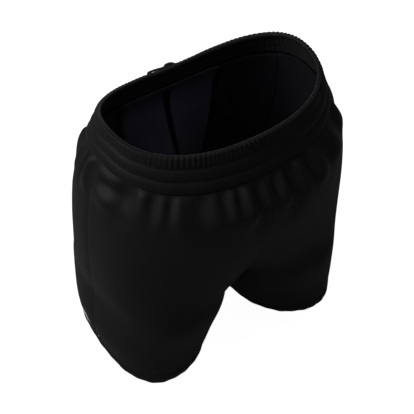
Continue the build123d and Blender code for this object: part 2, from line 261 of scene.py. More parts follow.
# %% Sheet helpers
def normals_of(points, side=1):
    """Outward unit normals of a layer grid on the wearer's left."""
    around = np.gradient(points, axis=1)
    down = np.gradient(points, axis=0)
    normal = np.cross(down, around)
    return normal / np.maximum(np.linalg.norm(normal, axis=-1, keepdims=True), 1e-9)


def cloth_piece(name, outer, inner, mirror=False, closed=False):
    """Closed thin solid between two grids of points in millimetres."""
    rows, columns = outer.shape[:2]
    both = np.concatenate([outer.reshape(-1, 3), inner.reshape(-1, 3)]) * MM
    if mirror:
        both[:, 0] *= -1
    count = rows * columns
    index = np.arange(count).reshape(rows, columns)
    if closed:
        index = np.concatenate([index, index[:, :1]], axis=1)
    a, b, c, d = index[:-1, :-1], index[:-1, 1:], index[1:, 1:], index[1:, :-1]
    skin = np.stack([a, d, c, b], -1).reshape(-1, 4)
    lining = np.stack([a, b, c, d], -1).reshape(-1, 4) + count
    borders = [index[0, ::-1], index[-1]]
    if not closed:
        borders += [index[:, 0], index[::-1, -1]]
    edges = []
    for line in borders:
        edges.append(np.stack([line[:-1], line[:-1] + count, line[1:] + count, line[1:]], -1))
    faces = np.concatenate([skin, lining, *edges])
    if mirror:
        faces = faces[:, ::-1]
    mesh = bpy.data.meshes.new(name)
    mesh.from_pydata(both.tolist(), [], faces.tolist())
    mesh.update()
    along = np.linalg.norm(np.diff(outer[rows // 2], axis=0), axis=-1)
    u = np.concatenate([[0], np.cumsum(along)])
    fall = np.linalg.norm(np.diff(outer[:, columns // 2], axis=0), axis=-1)
    v = np.concatenate([[0], np.cumsum(fall)])
    uv_u, uv_v = np.meshgrid(u, v)
    spread = np.stack([uv_u.ravel(), uv_v.ravel()], -1) * MM
    spread = np.concatenate([spread, spread])
    loops = np.zeros(len(mesh.loops), dtype=np.int32)
    mesh.loops.foreach_get("vertex_index", loops)
    layer = mesh.uv_layers.new(name="cloth")
    layer.data.foreach_set("uv", spread[loops].ravel())
    mesh.polygons.foreach_set("use_smooth", np.ones(len(mesh.polygons), dtype=bool))
    piece = bpy.data.objects.new(name, mesh)
    bpy.context.scene.collection.objects.link(piece)
    return piece


def bump_window(value, start, end, soft):
    """1 between start and end, falling smoothly to 0 over soft on both sides."""
    rise = np.clip((value - start) / soft + 1, 0, 1)
    fall = np.clip((end - value) / soft + 1, 0, 1)
    return (rise * rise * (3 - 2 * rise)) * (fall * fall * (3 - 2 * fall))


# %% [markdown]
# ## Gathers and folds
# The cloth is cut wider than the elastic and gathered onto it, so it puffs out below the waist seam and falls
# in soft ridges and valleys that die out within a hand's width. The larger ones are placed one by one, as
# (turn, half width, push, start, end) in millimetres below the seam; between them a finer
# ripple, seeded so that it is the same on each run, fills the rest.

# %% Fold field
QUARTER = 255.0             # millimetres of cloth in one unit of turn at the hip
BACK_FOLDS = {
    "left": [
        (0.285, 17, -5.5, 6, 62), (0.37, 10, 2.6, 0, 52), (0.438, 6.5, -2.3, 5, 46), (0.48, 7, 2.0, 0, 40),
        (0.525, 6.5, -2.2, 5, 44), (0.565, 7.5, 2.2, 0, 42), (0.663, 12, -2.4, 5, 52), (0.73, 8, 1.6, 0, 40),
        (0.775, 6, -2.0, 3, 40), (0.812, 8, 3.0, 0, 48), (0.853, 6, -2.4, 2, 40), (0.902, 8, 3.2, 0, 62),
        (0.957, 8.5, -5.0, 0, 92), (0.075, 16, 2.6, -4, 8), (0.20, 16, 2.6, -4, 10),
    ],
    "right": [
        (0.948, 6.5, -3.4, 0, 46), (0.905, 6.5, 2.6, 0, 44), (0.862, 9, -5.4, 0, 72), (0.80, 9, 3.6, 0, 62),
        (0.74, 7, -3.0, 3, 44), (0.68, 10, 2.8, 0, 52), (0.60, 9, -2.8, 3, 56), (0.52, 10, 2.2, 0, 48),
        (0.43, 9, -2.4, 4, 52), (0.34, 9, 2.0, 0, 42), (0.24, 9, -2.2, 4, 50), (0.14, 9, 1.8, 0, 40),
    ],
}
SIDE_DIMPLES = [            # (turn, place below the seam, half width, half height, push) at the left hip
    (0.125, 20, 17, 9, -6.5), (0.14, 40, 30, 13, 3.6), (0.10, 5, 30, 9, 3.4), (0.02, 26, 5, 12, -1.6),
]
dice = np.random.default_rng(7)
FRONT_FOLDS = {
    side: [
        (-0.07 - 0.086 * i + 0.02 * dice.uniform(-1, 1), dice.uniform(6, 10),
         (-1) ** i * dice.uniform(1.6, 3.6), dice.uniform(0, 4), dice.uniform(36, 66))
        for i in range(11)
    ]
    for side in ("left", "right")
}
FOLD_DEPTH = 1.6            # strength of all the placed folds together
LEAN = 0.0011               # turn that a fold near the hip moves forward for each millimetre it falls
RIPPLES = [(dice.uniform(14, 46), dice.uniform(0, 2 * pi), dice.uniform(0.12, 0.34)) for _ in range(14)]
LONG_FOLDS = [
    (-0.45, 80, 3.2), (-0.8, 40, 1.6), (-0.30, 44, -2.2),
    (0.26, 34, 1.6), (0.62, 46, -1.6), (0.83, 34, 1.8),
]


def fold_push(side, turn, drop):
    """Outward push in mm; drop is mm below the waist seam."""
    push = np.zeros_like(turn)
    for centre, half, depth, start, end in BACK_FOLDS[side] + FRONT_FOLDS[side]:
        spread = half * (1 + np.clip(drop, 0, 90) / 110)
        lean = LEAN * np.clip(1 - np.abs(centre - 0.36) / 0.3, 0, 1) * np.clip(drop, 0, 90)
        sway = centre - lean + 0.012 * np.sin(drop / 17 + centre * 40)
        ridge = np.exp(-((turn - sway) * QUARTER / spread) ** 2)
        window = bump_window(drop, start + 6, end * 0.3, 6 + end * 0.95)
        push += FOLD_DEPTH * depth * ridge * window
    for ripple, phase, depth in RIPPLES:
        push += depth * np.sin(turn * ripple + phase) * np.exp(-np.clip(drop, 0, None) / 34)
    if side == "left":
        for centre, down, across, tall, depth in SIDE_DIMPLES:
            push += depth * np.exp(-((turn - centre) * QUARTER / across) ** 2 - ((drop - down) / tall) ** 2)
    for centre, half, depth in LONG_FOLDS:
        sway = centre + 0.03 * np.sin(drop / 90 + centre * 5)
        push += depth * np.exp(-((turn - sway) * QUARTER / half) ** 2) * bump_window(drop, 120, 240, 90)
    fade = 1 - np.exp(-(np.clip(drop, 0, None) / 5) ** 2)
    return push * fade


def seam_shape(turn, drop):
    """The sewn seams pull in beside the stitches and stand up as a fine ridge over the seam allowance."""
    shape = np.zeros_like(turn)
    for centre in (-1.0, 0.0, 1.0):
        distance = np.abs(turn - centre) * QUARTER
        shape += -0.7 * np.exp(-(distance / 5.0) ** 2) + 1.3 * np.exp(-(distance / 1.1) ** 2)
    pucker = np.exp(-(np.abs(turn) * QUARTER / 9) ** 2) * np.sin(drop * 0.34 + 3 * np.sin(drop * 0.043))
    return shape + 0.13 * pucker * (1 + np.sin(drop * 0.061 + 1))


print("folds", {side: len(BACK_FOLDS[side]) + len(FRONT_FOLDS[side]) for side in BACK_FOLDS})

# %% [markdown]
# ## Shell panels
# Four woven panels: a front and a back for each leg, sewn at the sides, the centre front and back and the
# inner leg. They are made on the same grid rule, so their seams meet.

# %% Shell panels
GAP = 0.00003               # turn left open at each seam
CLOTH = 0.9
HEM_HEIGHT = 16
TUCKED_UNDER = 1.4          # how far the panels reach up behind the waistband
HEM_TOP = SHELL["height"][-1] + HEM_HEIGHT
SPANS = {"front": (-1 + GAP, -GAP), "back": (GAP, 1 - GAP)}
FINE = 6
pieces = {}


def take_place(piece, node_name, body="shorts"):
    """The piece replaces a CAD node and rides on its body."""
    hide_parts(node_name)
    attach(piece, body)
    pieces[piece.name] = piece


def folded_shell(side, turn, z, points):
    """Shell points pushed along their normals by folds and seams."""
    drop = -z - BAND_HEIGHT
    normal = normals_of(points)
    edge = np.minimum(np.abs(turn), 1 - np.abs(turn)) * QUARTER
    free = 1 - np.exp(-(edge / 9) ** 2)
    tuck = -1.6 * np.exp(-(drop / 4.0) ** 2)
    push = fold_push(side, turn, drop) * free + seam_shape(turn, drop) + tuck
    return points + normal * push[..., None], normal


for side in ("left", "right"):
    for name, (first, last) in SPANS.items():
        columns = 141
        turn, z, points = layer_grid(SHELL, first, last, -BAND_HEIGHT + TUCKED_UNDER, HEM_TOP + 0.3,
                                     columns, FINE)
        outer, normal = folded_shell(side, turn, z, points)
        piece = cloth_piece(f"{side}_{name}_cloth", outer, outer - normal * CLOTH, side == "right")
        take_place(piece, f"{side}_{name}_panel")
print("shell", {name: len(p.data.polygons) for name, p in pieces.items()})

# %% [markdown]
# ## Hems
# The leg opening is folded up twice and stitched 16 mm above its edge. The stitch line pulls in, so the hem
# stands as a soft round band under a dark groove. At the side seam the hem is open in a small notch.

# %% Hems
VENT = 0.006                # half the notch at the side seam
ROLL_HEIGHT = 1.5
STITCH_PINCH = 0.9
hem_spans = {"front": (-1 + GAP, -VENT), "back": (VENT, 1 - GAP)}
for side in ("left", "right"):
    for name, (first, last) in hem_spans.items():
        down = np.linspace(0, 1, 15)
        turn, z = np.meshgrid(np.linspace(first, last, 141),
                              HEM_TOP + (SHELL["height"][-1] - HEM_TOP) * down)
        points = layer_points(SHELL, turn, z)
        normal = normals_of(points)
        fall = down[:, None]
        profile = (ROLL_HEIGHT * np.sin(pi * np.clip(fall * 1.02, 0, 1)) ** 0.6
                   - STITCH_PINCH * np.exp(-(fall * HEM_HEIGHT / 1.8) ** 2))
        wander = 0.35 * np.sin(turn * 37 + 1.1) + 0.3 * np.sin(turn * 83)
        pucker = 0.12 * np.sin(turn * QUARTER * 2 * pi / 3.4) * np.exp(-(fall * 5) ** 2)
        push = profile + wander * fall + pucker
        outer = points + normal * push[..., None]
        thick = 0.9 + 1.4 * np.sin(pi * fall) ** 0.5
        inner = outer - normal * thick[..., None]
        piece = cloth_piece(f"{side}_{name}_hem_band", outer, inner, side == "right")
        take_place(piece, f"{side}_{name}_hem")
print("hems", [n for n in pieces if "hem" in n])

# %% [markdown]
# ## Waistband
# One casing folded over the top and stitched in three rows over three elastic tapes. Each row is convex and
# the stitch lines pull tight between them. The upper row is gathered hardest: the elastic shrinks
# it into a ruffle of ridges about 6 mm apart, strongest across the back, slack at the left hip.

# %% Waistband
def band_points(turn, depth):
    """Base face of the waistband and its outward normal, wearer's left."""
    angle = pi / 2 * turn
    behind = turn > 0
    front_x, front_y = round_corner(angle, 0.805)
    back_x, back_y = round_corner(angle, 0.889)
    sizes = RIM + (SEAM_RING - RIM) * depth[..., None]
    x = sizes[..., 0] * np.where(behind, back_x, front_x)
    y = np.where(behind, sizes[..., 2] * back_y, sizes[..., 1] * front_y)
    z = (1 - depth) * rim_height(turn) + depth * (seam_height(turn) - BAND_HEIGHT)
    return np.stack([x, y, z], -1)


def whole_ring(depth_rows, columns_half):
    """Base points round the whole waist: left side from back to front, then right side back again."""
    turns = np.linspace(1, -1, columns_half)
    signed = np.concatenate([turns, turns[-2:0:-1]])
    left = np.concatenate([np.ones(columns_half), -np.ones(columns_half - 2)])
    turn, depth = np.meshgrid(signed, depth_rows)
    points = band_points(turn, np.clip(depth, 0, 1))
    points[..., 0] *= left
    around = np.roll(points, -1, axis=1) - np.roll(points, 1, axis=1)
    normal = np.stack([-around[..., 1], around[..., 0], np.zeros_like(depth)], -1)
    normal /= np.linalg.norm(normal, axis=-1, keepdims=True)
    outward = np.sign((normal[..., :2] * points[..., :2]).sum(-1, keepdims=True))
    step = np.linalg.norm(np.diff(points[0], axis=0, append=points[0][:1]), axis=-1)
    run = np.concatenate([[0], np.cumsum(step)[:-1]])
    return turn, depth, left[None] * np.ones_like(turn), points, normal * outward, run


ROWS = 3
ROW_SWELL = 3.1             # how far each row stands out between its stitch lines
RUFFLE = 1.05
RUFFLE_PITCH = 6.1
ROLL = [                    # places (out, down) of the cloth that rolls over the rim
    (-3.4, 5.6), (-3.5, 2.6), (-2.9, 0.9), (-1.5, -0.1), (0.2, 0.1), (1.5, 0.9),
]
INSIDE_ROLL = 4             # places of the roll that lie on the inner side

half_columns = 521
depth_rows = np.concatenate([np.zeros(len(ROLL)), np.linspace(0, 1, 37)])
turn, depth, left, base, normal, run = whole_ring(depth_rows, half_columns)
rows_out = 0.1 + ROW_SWELL * np.abs(np.sin(ROWS * pi * depth)) ** 0.5
rim_row = np.clip(1 - depth * ROWS / 0.5, 0, 1)
rows_out = rows_out + 1.9 * rim_row ** 2
gather = np.where(left > 0, 0.5 + 0.5 * np.tanh((turn - 0.42) * 6), 0.5 + 0.5 * np.tanh((turn + 0.7) * 4))
gather = np.maximum(gather, np.where(turn < -0.5, 0.55, 0.12))
phase = 2 * pi * run / RUFFLE_PITCH + 1.5 * np.sin(run / 31) + 1.1 * np.sin(run / 13.7 + 2)
swell = 0.65 + 0.35 * np.sin(run / 17 + 1) * np.sin(run / 7.3)
first_row = bump_window(depth * ROWS, 0.0, 0.80, 0.16)
ruffle = RUFFLE * np.sin(phase) * swell * gather * first_row
second = 0.10 * np.sin(2 * pi * run / 3.9 + 2 * np.sin(run / 23)) * bump_window(depth * ROWS, 1.1, 2.9, 0.1)
slack = 0.35 * np.sin(run / 11) * np.sin(run / 27 + 1) * bump_window(depth * ROWS, 0.1, 2.9, 0.2)
out = rows_out + ruffle + second + slack
lift = np.zeros_like(out)
for i, (sideways, down) in enumerate(ROLL):
    out[i] = sideways + 0.4 * np.sin(phase) * gather[i] * (0.3 if i < 2 else 1)
    lift[i] = -down + 0.32 * np.sin(phase + 0.6) * gather[i] * (0.2 if i < 2 else 1)
PLEATS = [(1, 0.80), (-1, 0.93), (-1, 0.90), (-1, 0.82), (-1, 0.795)]   # (side, turn) of the pressed creases
for hand, where in PLEATS:
    distance = (turn - where) * QUARTER * 0.86
    middle_row = (left == hand) * bump_window(depth * ROWS, 1.12, 1.9, 0.08)
    crease = np.exp(-(distance / 0.9) ** 2) * middle_row
    out = out - 0.85 * crease + 0.4 * np.exp(-((distance - 2) / 1.0) ** 2) * middle_row
centre_back = np.exp(-((1 - turn) * QUARTER / 1.1) ** 2) * bump_window(depth * ROWS, 0.9, 3.0, 0.1)
out = out + 0.55 * centre_back
outer = base + normal * out[..., None]
outer[..., 2] += lift
place = np.arange(len(depth_rows))[:, None]
inner_out = np.where(place < INSIDE_ROLL, out + 0.7, out - 0.75)
inner = base + normal * inner_out[..., None]
inner[..., 2] += lift - np.where(place < len(ROLL), 0.7, 0)
casing = cloth_piece("waistband_gathered_casing", outer, inner, closed=True)
take_place(casing, "waistband_casing")

FACING_INSIDE = 3.4
FACING_CLOTH = 0.6
facing_depth = np.linspace(0.05, 1.0, 43)
_, depth, _, base, normal, run = whole_ring(facing_depth, 281)
ribs = 0.28 * np.abs(np.sin(7.5 * pi * depth)) + 0.7 * np.abs(np.sin(3 * pi * depth)) ** 0.7
creases = 0.22 * np.sin(2 * pi * run / 7.2 + 1.3 * np.sin(run / 29)) * bump_window(depth, 0.1, 0.9, 0.1)
facing_out = -FACING_INSIDE - ribs - creases
outer = base + normal * (facing_out[..., None] + FACING_CLOTH)
inner = base + normal * facing_out[..., None]
facing = cloth_piece("waistband_inner_facing", outer, inner, closed=True)
take_place(facing, "waistband_facing")
print("waistband", len(casing.data.polygons), "faces")

# %% [markdown]
# ## Knot and cord tips
# The cord is tied close to the band: each end comes out of its eyelet and goes into a small barrel of two
# and a half turns, and a tail leaves on each side. Each tail ends in a moulded tip with a collar and a
# rounded end.

# %% Knot
KNOT = Vector((0, -99.8, -33.0))
EYELET = Vector((8.0, -93.0, -31.6))


def tube_mesh(name, path, radius, around=10):
    """Tube along a polyline in millimetres, closed at both ends."""
    path = np.array(path, float)
    ahead = np.gradient(path, axis=0)
    ahead /= np.linalg.norm(ahead, axis=1, keepdims=True)
    side_way = np.cross(ahead[0], (0.3, 0.2, 1.0))
    rings = []
    for point, forward in zip(path, ahead):
        side_way = side_way - forward * side_way.dot(forward)
        side_way /= np.linalg.norm(side_way)
        up = np.cross(forward, side_way)
        angles = 2 * pi * np.arange(around) / around
        rings.append(point + radius * (np.outer(np.cos(angles), side_way) + np.outer(np.sin(angles), up)))
    verts = np.array(rings).reshape(-1, 3) * MM
    faces = []
    for i in range(len(path) - 1):
        for j in range(around):
            k = (j + 1) % around
            faces.append((i * around + j, i * around + k, (i + 1) * around + k, (i + 1) * around + j))
    faces.append(tuple(range(around))[::-1])
    faces.append(tuple(range((len(path) - 1) * around, len(path) * around)))
    mesh = bpy.data.meshes.new(name)
    mesh.from_pydata(verts.tolist(), [], faces)
    mesh.update()
    layer = mesh.uv_layers.new(name="cloth")
    for loop in mesh.loops:
        ring, place = divmod(loop.vertex_index, around)
        layer.data[loop.index].uv = (place / around * 2 * pi * radius * MM, ring * 0.0012)
    mesh.polygons.foreach_set("use_smooth", np.ones(len(mesh.polygons), dtype=bool))
    piece = bpy.data.objects.new(name, mesh)
    bpy.context.scene.collection.objects.link(piece)
    return piece


def join(parts, name):
    """Joins pieces into one, named object."""
    bpy.ops.object.select_all(action="DESELECT")
    for part in parts:
        part.select_set(True)
    bpy.context.view_layer.objects.active = parts[0]
    bpy.ops.object.join()
    parts[0].name = name
    parts[0].data.name = name
    return parts[0]


def strand(points, steps=24):
    """Smooth curve through a few points, as a list of places."""
    points = np.array(points, float)
    stations = np.linspace(0, len(points) - 1, steps * (len(points) - 1) + 1)
    slopes = np.gradient(points, axis=0)
    places = []
    for station in stations:
        i = min(int(station), len(points) - 2)
        t = station - i
        places.append(points[i] * (1 + 2 * t) * (1 - t) ** 2 + slopes[i] * t * (1 - t) ** 2
                      + points[i + 1] * t * t * (3 - 2 * t) + slopes[i + 1] * t * t * (t - 1))
    return places


KNOT_TURNS = 2.5
centre = np.array(KNOT)
barrel = []
for t in np.arange(97) / 96:
    angle = 2 * pi * KNOT_TURNS * t + 0.5
    radius = 2.7 + 0.25 * sin(pi * t)
    lean = 0.9 * sin(angle + 0.8)
    barrel.append(centre + [3.5 * (2 * t - 1) + lean, radius * cos(angle), radius * sin(angle)])
parts = [tube_mesh("knot_barrel", barrel, 1.65)]
for hand, tail in ((1, LEFT_TAIL), (-1, RIGHT_TAIL)):
    inside = np.array([EYELET.x * hand, EYELET.y, EYELET.z])
    feed = strand([inside, inside + [0, -3.2, 0.3], centre + [4.6 * hand, -0.6, 2.4],
                   centre + [0.6 * hand, -1.0, 0.6]])
    parts.append(tube_mesh("knot_feed", feed, 1.6))
    leave = strand([centre + [0.5 * hand, 0.6, -0.8], centre + [4.8 * hand, -0.9, -1.0], np.array(tail[0])])
    parts.append(tube_mesh("knot_exit", leave, 1.58))
knot = join(parts, "drawstring_barrel_knot")
take_place(knot, "drawstring_knot")


# %% Cord tips
TIP_RADIUS = 0.0023
TIP_LENGTH = 0.016


def turned_tip(name, route):
    """Moulded tip turned round the cord's last direction: collar, waist and rounded end."""
    end = Vector(route[-1]) * MM
    ahead = (Vector(route[-1]) - Vector(route[-2])).normalized()
    bpy.ops.object.select_all(action="DESELECT")
    bpy.ops.mesh.primitive_cylinder_add(vertices=24, radius=TIP_RADIUS, depth=TIP_LENGTH,
                                        location=(0, 0, TIP_LENGTH / 2))
    tip = bpy.context.object
    bpy.ops.object.mode_set(mode="EDIT")
    bpy.ops.mesh.select_all(action="SELECT")
    bpy.ops.mesh.subdivide(number_cuts=5, quadcorner="INNERVERT")
    bpy.ops.object.mode_set(mode="OBJECT")
    for vertex in tip.data.vertices:
        share = (vertex.co.z + TIP_LENGTH / 2) / TIP_LENGTH
        collar = 1.0 if share < 0.2 else 0.84 if share < 0.3 else 0.92
        taper = 1.0 if share < 0.8 else 1 - 0.45 * ((share - 0.8) / 0.2) ** 2
        vertex.co.x *= collar * taper
        vertex.co.y *= collar * taper
    bevel = tip.modifiers.new("edges", "BEVEL")
    bevel.width = 0.0003
    bevel.segments = 2
    bpy.ops.object.modifier_apply(modifier="edges")
    turn_to = ahead.to_track_quat("Z", "X").to_matrix().to_4x4()
    tip.data.transform(Matrix.Translation(end) @ turn_to @ Matrix.Translation((0, 0, TIP_LENGTH / 2)))
    tip.matrix_world = Matrix.Identity(4)
    tip.name = name
    tip.data.name = name
    tip.data.polygons.foreach_set("use_smooth", np.ones(len(tip.data.polygons), dtype=bool))
    return tip


tips = {side: turned_tip(f"{side}_moulded_tip", route)
        for side, route in (("left", LEFT_TAIL), ("right", RIGHT_TAIL))}
for side, route in (("left", LEFT_TAIL), ("right", RIGHT_TAIL)):
    take_place(tails[side], f"{side}_tail_cord", body=f"{side}_tail")
    take_place(tips[side], f"{side}_cord_tip", body=f"{side}_tail")

# %% [markdown]
# ## Close liner
# Under the loose shell sits a close short of perforated knit. Its front carries a pouch with a taped centre
# seam and taped edges, and it holds the foam pads against the body. It is smooth, held flat by stretch, with
# shallow drag lines that run from the crotch out to the hip.

# %% Liner panels
POUCH_EDGE = -0.70
HIP_EDGE = 0.33
CUFF_TOP = LINER["height"][-1] + 28
LINER_GAP = 0.003
LINER_CLOTH = 0.9
LINER_TOP = -BAND_HEIGHT + 0.6      # just behind the facing's lower edge


def stretched_liner(turn, z, points, side):
    """Liner points pushed by drag lines and by the pull of its seams."""
    normal = normals_of(points)
    drag = 0.5 * np.sin(z / 13 + turn * 9) * np.exp(-((z + 268) / 62) ** 2)
    drag += 0.35 * np.sin(z / 31 - turn * 4 + (side == "left")) * bump_window(-z, 90, 330, 40)
    for edge in (-1.0, POUCH_EDGE, HIP_EDGE, 1.0):
        drag -= 0.5 * np.exp(-((turn - edge) * 215 / 4) ** 2)
    return points + normal * drag[..., None], normal


LINER_PANELS = {
    "pouch": ("pouch_half", -1 + LINER_GAP, POUCH_EDGE - LINER_GAP, LINER_TOP, -265.0),
    "inner_thigh_gusset": ("gusset_cloth", -1 + LINER_GAP, POUCH_EDGE - LINER_GAP, -267.0, CUFF_TOP + 0.4),
    "liner_front_thigh": ("front_thigh_cloth", POUCH_EDGE + LINER_GAP, -HIP_EDGE - LINER_GAP, LINER_TOP,
                          CUFF_TOP + 0.4),
    "liner_hip_panel": ("hip_cloth", -HIP_EDGE + LINER_GAP, HIP_EDGE - LINER_GAP, LINER_TOP, CUFF_TOP + 0.4),
    "liner_back_panel": ("seat_cloth", HIP_EDGE + LINER_GAP, 1 - LINER_GAP, LINER_TOP, CUFF_TOP + 0.4),
}
for side in ("left", "right"):
    for node_name, (name, first, last, top, bottom) in LINER_PANELS.items():
        turn, z, points = layer_grid(LINER, first, last, top, bottom, 71,
                                     4)
        outer, normal = stretched_liner(turn, z, points, side)
        piece = cloth_piece(f"{side}_liner_{name}", outer, outer - normal * LINER_CLOTH, side == "right")
        take_place(piece, f"{side}_{node_name}")
print("liner", [n for n in pieces if "_liner_" in n])

# %% [markdown]
# ## Liner cuffs
# The leg of the liner ends in a wide ribbed elastic cuff that grips the thigh.

# %% Liner cuffs
for side in ("left", "right"):
    down = np.linspace(0, 1, 21)
    turn, z = np.meshgrid(np.linspace(-1 + GAP, 1 - GAP, 241),
                          CUFF_TOP + (LINER["height"][-1] - CUFF_TOP) * down)
    points = layer_points(LINER, turn, z)
    normal = normals_of(points)
    fall = down[:, None]
    swell = 0.7 * np.sin(pi * np.clip(fall, 0.02, 0.98)) ** 0.4 + 0.22 * np.sin(fall * 2 * pi * 9)
    pinch = 0.25 * np.sin(turn * 2 * pi * 46)
    outer = points + normal * (swell + pinch * np.sin(pi * fall))[..., None]
    cuff = cloth_piece(f"{side}_liner_leg_cuff", outer, outer - normal * 1.6, side == "right")
    take_place(cuff, f"{side}_liner_cuff")

# %% [markdown]
# ## Tapes on the pouch
# A woven tape covers the middle seam of the pouch: broad where it is tacked at the waist, narrow below.
# Two flat tapes cover the seams beside the pouch. All lie on the inner face of the liner.

# %% Tapes
TAPE_TOP = -56.0
TAPE_BOTTOM = -232.0
TAPE_THICK = 0.8


def raised(profile_across):
    """A tape is rounded off at its selvedges and thickest in the middle."""
    return np.sqrt(np.clip(1 - profile_across ** 4, 0, 1))


z_rows = np.linspace(TAPE_TOP, TAPE_BOTTOM, 89)
across = np.linspace(-1, 1, 13)
share, z = np.meshgrid(across, z_rows)
middle = layer_points(LINER, np.full_like(z, -1.0), z)
half = 3.0 + 3.2 * (1 - (z - TAPE_TOP) / (TAPE_BOTTOM - TAPE_TOP)) ** 2
half = half * (1 + 0.03 * np.sin(z / 5))
ripple = 0.3 * np.sin(z / 4.6) * np.cos(share * 2)
tape_face = middle.copy()
tape_face[..., 0] = half * share
tape_face[..., 1] += LINER_CLOTH + 0.55 + ripple
inward = np.zeros_like(tape_face)
inward[..., 1] = 1
top_face = tape_face + inward * (TAPE_THICK * raised(share))[..., None]
centre_tape = cloth_piece("pouch_seam_tape", tape_face, top_face)
take_place(centre_tape, "pouch_centre_tape")

for side in ("left", "right"):
    turn, z = np.meshgrid(np.linspace(POUCH_EDGE - 0.018, POUCH_EDGE + 0.018, 11),
                          np.linspace(-54, LINER["height"][CROTCH] + 14, 101))
    points = layer_points(LINER, turn, z)
    normal = normals_of(points)
    lift = LINER_CLOTH + 0.25 + 0.7 * raised((turn - POUCH_EDGE) / 0.018)
    low = points - normal * (LINER_CLOTH + 0.15)
    high = points - normal * lift[..., None]
    edge_tape = cloth_piece(f"{side}_pouch_seam_binding", low, high, side == "right")
    take_place(edge_tape, f"{side}_pouch_edge_tape")
print("tapes", [n for n in pieces if "seam" in n])

# %% [markdown]
# ## Impact pads
# Closed-cell foam 6 to 8 mm thick between the layers at hips, thighs and seat, and one pad over the tailbone.
# Each pad is moulded in cells, parted by narrow grooves so that it bends with the body, and thins to its
# rounded edge.

# %% Impact pads
PAD = 8.6                   # from the liner to a pad's outer face
PAD_EDGE = 0.3
PADS = {                    # first and last turn, top, bottom, lift off the liner, cells across and down
    "hip_pad": (-0.26, 0.26, -100.0, -214.0, 0.6, 5, 5),
    "thigh_pad": (-0.44, -0.04, -296.0, -350.0, 2.2, 4, 3),
    "seat_pad": (0.42, 0.86, -150.0, -236.0, 0.6, 4, 4),
}


def cell_height(u, v, across, down):
    """0 to 1: domed cells with grooves between, sunk to nothing at the pad's edge."""
    groove_u = np.abs(np.sin(pi * across * u)) ** 0.4
    groove_v = np.abs(np.sin(pi * down * v)) ** 0.4
    corner = (np.abs(2 * u - 1) ** 5 + np.abs(2 * v - 1) ** 5) ** 0.2
    rim = np.clip((1 - corner) / 0.10, 0, 1)
    return (0.45 + 0.55 * groove_u * groove_v) * np.sqrt(rim * (2 - rim))


def round_pad_corners(u, v):
    """Maps a square grid onto a square with rounded corners."""
    a, b = 2 * u - 1, 2 * v - 1
    a2 = a * np.sqrt(1 - 0.22 * b * b)
    b2 = b * np.sqrt(1 - 0.22 * a * a)
    return (a2 + 1) / 2, (b2 + 1) / 2


pad_steps = np.linspace(0, 1, 101)
grid_u, grid_v = np.meshgrid(pad_steps, pad_steps)
for node_name, (first, last, top, bottom, lift, across, down) in PADS.items():
    round_u, round_v = round_pad_corners(grid_u, grid_v)
    turn = first + (last - first) * round_u
    z = top + (bottom - top) * round_v
    points = layer_points(LINER, turn, z)
    normal = normals_of(points)
    dome = cell_height(grid_u, grid_v, across, down)
    for side in ("left", "right"):
        outer = points + normal * (lift + PAD_EDGE + (PAD - lift - PAD_EDGE) * dome)[..., None]
        inner = points + normal * lift
        pad = cloth_piece(f"{side}_{node_name}_foam", outer, inner, side == "right")
        take_place(pad, f"{side}_{node_name}")

TAIL_PAD_HALF = 40.0
round_u, round_v = round_pad_corners(grid_u, grid_v)
x = TAIL_PAD_HALF * (2 * round_u - 1)
z = -78.0 - 66.0 * round_v
flank = layer_points(LINER, np.full_like(z, 0.83), z)
points = np.stack([x, flank[..., 1] + 3.2 + 2.5 * (1 - (x / TAIL_PAD_HALF) ** 2), flank[..., 2]], -1)
away = np.zeros_like(points)
away[..., 1] = 1
dome = cell_height(grid_u, grid_v, 4, 3)
tail_pad = cloth_piece("tailbone_foam", points + away * (0.4 + 5.6 * dome)[..., None], points)
tail_pad.data.flip_normals()
take_place(tail_pad, "tailbone_pad")
print("pads", [n for n in pieces if "foam" in n])

# %% [markdown]
# ## Reflective bars
# Five short slanted bars of reflective film, heat-pressed onto the shell above the hem, beside the left side
# seam.

# %% Reflective bars
bars = []
for k in range(5):
    near = -0.055 - 0.022 * k
    u, v = np.meshgrid(np.linspace(0, 1, 9), np.linspace(0, 1, 17))
    z = -364 - 1.5 * k - 16 * v
    turn = near - 0.011 * (1 - u) - 0.0011 * (z + 372)
    points = layer_points(SHELL, turn, z)
    skin, normal = folded_shell("left", turn, z, points)
    edge = np.minimum(np.minimum(u, 1 - u) * 5, np.minimum(v, 1 - v) * 20)
    top_face = skin + normal * (0.08 + 0.14 * np.clip(edge * 2, 0, 1))[..., None]
    bars.append(cloth_piece(f"bar_{k}", top_face, skin - normal * 0.05))
bar_set = join(bars, "left_reflective_bar_set")
take_place(bar_set, "left_reflective_bars")

# %% [markdown]
# ## Stitching
# Lockstitch and coverstitch show as rows of short thread loops that sit in the cloth. One stitch is a small
# arch of thread; rows of them follow the waistband channels, the hems, the cuffs and the pouch seams.

